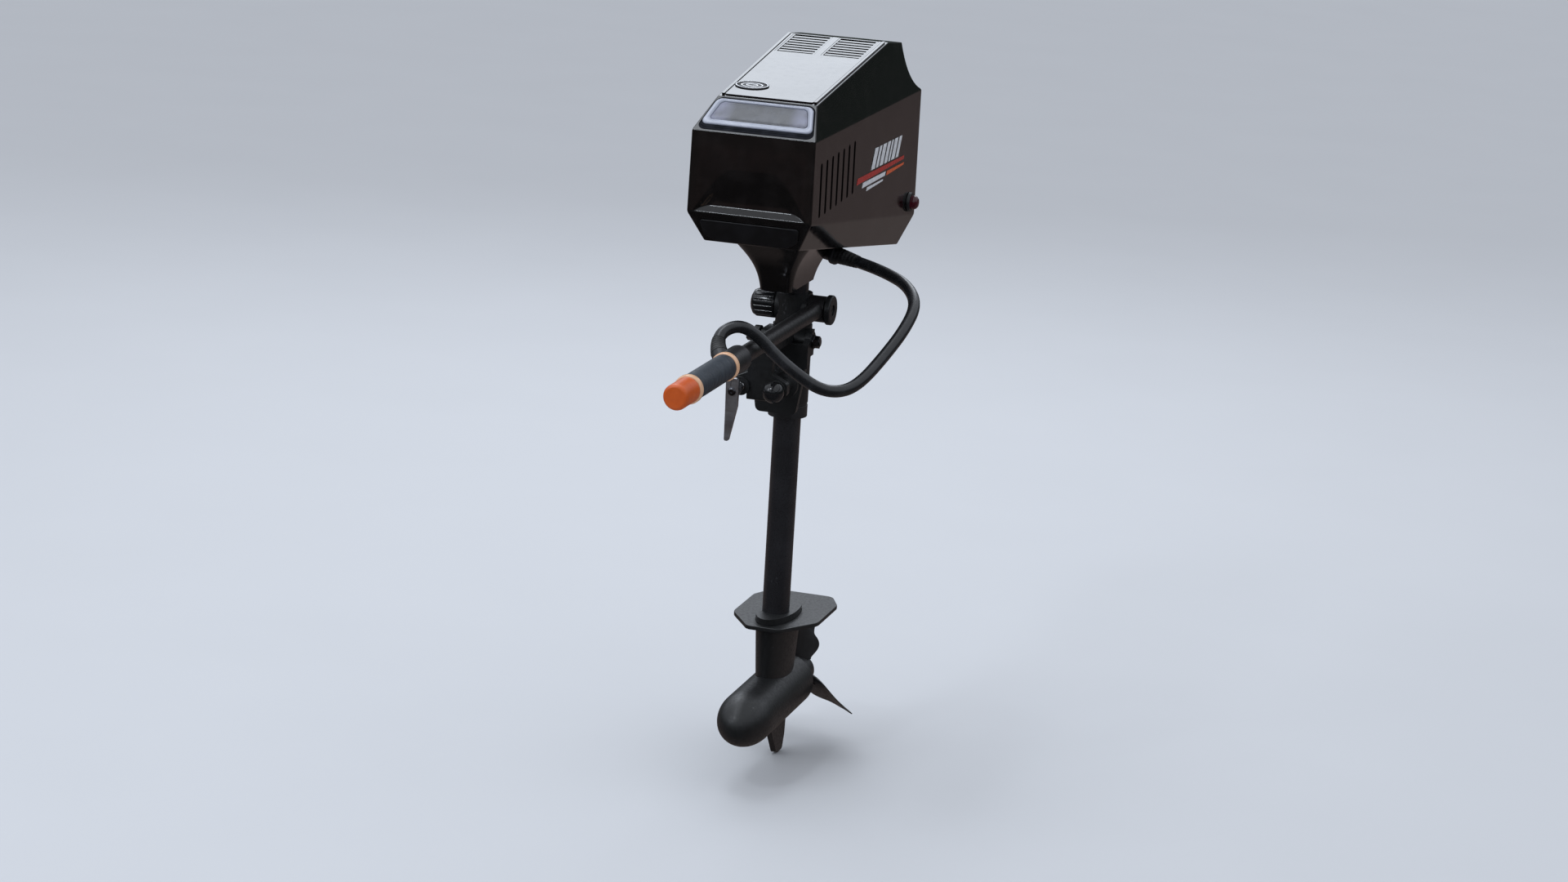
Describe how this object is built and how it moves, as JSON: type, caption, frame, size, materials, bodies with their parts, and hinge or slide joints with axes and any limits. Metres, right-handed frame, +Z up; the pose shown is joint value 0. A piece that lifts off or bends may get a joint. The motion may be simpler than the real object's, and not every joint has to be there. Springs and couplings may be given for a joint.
{
  "type": "trolling motor",
  "caption": "Transom-mount electric trolling motor: boxy black head, twist-grip tiller with control cable, clamp bracket, steering tube, gearcase and propeller.",
  "frame": {"origin": "on the transom's top edge, at the middle of the clamp bridge's underside", "axes": "+X to port, +Y aft, +Z up along the steering tube"},
  "size_m": [0.2858, 0.885, 1.0075],
  "materials": {
    "casting_black": "satin",
    "rubber_black": "matte",
    "zinc_steel": "satin",
    "lever_alloy": "satin",
    "knob_black": "gloss",
    "nylon_black": "satin",
    "tube_black": "satin",
    "cowl_black": "gloss",
    "panel_dark": "satin",
    "window_smoke": "gloss",
    "badge_dark": "gloss",
    "cable_black": "satin",
    "bare_aluminium": "satin",
    "lead_red": "satin",
    "bearing_steel": "polished",
    "zinc_anode": "rough",
    "copper_winding": "satin",
    "propeller_black": "satin",
    "tiller_grey": "satin",
    "grip_rubber": "satin",
    "ring_orange": "gloss",
    "cap_orange": "satin",
    "button_red": "gloss"
  },
  "bodies": {
    "clamp_bracket": {"clamp_bracket": "casting_black", "thrust_stop": "rubber_black", "tilt_bolt": "zinc_steel", "tilt_nut_and_washers": "zinc_steel"},
    "clamp_pad_starboard": {"clamp_pad_starboard": "casting_black"},
    "clamp_screw_starboard": {"clamp_screw_starboard": "zinc_steel", "clamp_lever": "lever_alloy"},
    "clamp_pad_port": {"clamp_pad_port": "casting_black"},
    "clamp_screw_port": {"clamp_screw_port": "zinc_steel", "ball_knob": "knob_black"},
    "swivel_bracket": {"swivel_bracket": "casting_black", "steering_bushes": "nylon_black"},
    "motor_unit": {"steering_tube": "tube_black", "depth_collar": "nylon_black", "cross_boss": "casting_black", "pivot_cap": "casting_black", "lower_cowl": "cowl_black", "upper_cowl": "cowl_black", "cable_gland": "nylon_black", "front_lower_panel": "panel_dark", "window_frame": "cowl_black", "window_panel": "window_smoke", "top_panel": "cowl_black", "roof_grilles": "cowl_black", "badge": "badge_dark", "button_bezel": "nylon_black", "button_boot": "rubber_black", "stop_switch": "nylon_black", "power_inlet": "nylon_black", "control_cable": "cable_black", "motor_plate": "bare_aluminium", "motor_stator": "zinc_steel", "end_bells": "bare_aluminium", "brush_gear": "nylon_black", "controller": "bare_aluminium", "motor_leads": "lead_red", "ball_bearings": "bearing_steel", "shaft_seals": "rubber_black", "gearcase": "casting_black", "ventilation_plate": "casting_black", "gearcase_nose": "casting_black", "bearing_carrier": "bare_aluminium", "anode": "zinc_anode"},
    "rotor": {"armature_shaft": "bearing_steel", "armature_core": "copper_winding", "cooling_fan": "nylon_black", "drive_shaft": "bearing_steel", "pinion": "bearing_steel"},
    "propeller_shaft": {"prop_shaft": "bearing_steel", "prop_gear": "bearing_steel", "propeller": "propeller_black", "prop_nut_and_pin": "bearing_steel"},
    "tiller": {"tiller_arm": "tiller_grey", "tiller_collar": "nylon_black", "throttle_sensor": "nylon_black"},
    "twist_grip": {"grip_sleeve": "grip_rubber", "grip_rings": "ring_orange", "grip_end_cap": "cap_orange"},
    "tension_knob": {"tension_knob": "knob_black"},
    "stop_button": {"stop_button": "button_red"}
  },
  "joints": [
    {"name": "clamp_travel_starboard", "type": "slide", "parent": "clamp_bracket", "child": "clamp_pad_starboard", "axis": [0, 1, 0], "range_m": [-0.012, 0.002]},
    {"name": "clamp_turn_starboard", "type": "hinge", "parent": "clamp_pad_starboard", "child": "clamp_screw_starboard", "pos_m": [-0.025, -0.078, -0.048], "axis": [0, 1, 0], "range_deg": [-1442, 242]},
    {"name": "clamp_travel_port", "type": "slide", "parent": "clamp_bracket", "child": "clamp_pad_port", "axis": [0, 1, 0], "range_m": [-0.012, 0.002]},
    {"name": "clamp_turn_port", "type": "hinge", "parent": "clamp_pad_port", "child": "clamp_screw_port", "pos_m": [0.025, -0.078, -0.048], "axis": [0, 1, 0], "range_deg": [-1442, 242]},
    {"name": "tilt", "type": "hinge", "parent": "clamp_bracket", "child": "swivel_bracket", "pos_m": [0, 0.042, 0], "axis": [1, 0, 0], "range_deg": [0, 25]},
    {"name": "steering", "type": "hinge", "parent": "swivel_bracket", "child": "motor_unit", "pos_m": [0, 0.08, 0], "axis": [0, 0, 1], "range_deg": [-60, 60]},
    {"name": "tiller_pivot", "type": "hinge", "parent": "motor_unit", "child": "tiller", "pos_m": [0.035, 0.08, 0.038], "axis": [-1, 0, 0], "range_deg": [-12, 15], "deforming": ["control_cable"]},
    {"name": "twist_grip", "type": "hinge", "parent": "tiller", "child": "twist_grip", "pos_m": [0.035, -0.4, 0.038], "axis": [0, -1, 0], "range_deg": [-60, 90]},
    {"name": "tension_knob", "type": "hinge", "parent": "motor_unit", "child": "tension_knob", "pos_m": [-0.038, 0.08, 0.038], "axis": [-1, 0, 0], "range_deg": [0, 270]},
    {"name": "motor_shaft", "type": "hinge", "parent": "motor_unit", "child": "rotor", "pos_m": [0, 0.08, 0.24], "axis": [0, 0, 1], "continuous": true},
    {"name": "propeller_shaft", "type": "hinge", "parent": "motor_unit", "child": "propeller_shaft", "pos_m": [0, 0.08, -0.52], "axis": [0, 1, 0], "continuous": true},
    {"name": "stop_button", "type": "slide", "parent": "motor_unit", "child": "stop_button", "axis": [-1, 0, 0], "range_m": [0, 0.004], "stiffness_N_per_m": 800, "springref_m": -0.003, "deforming": ["button_boot"]}
  ],
  "couplings": [
    {"joint": "clamp_turn_starboard", "follows": "clamp_travel_starboard", "rad_per_m": 2094.4},
    {"joint": "clamp_turn_port", "follows": "clamp_travel_port", "rad_per_m": 2094.4},
    {"joint": "propeller_shaft", "follows": "motor_shaft", "ratio": 0.5}
  ]
}
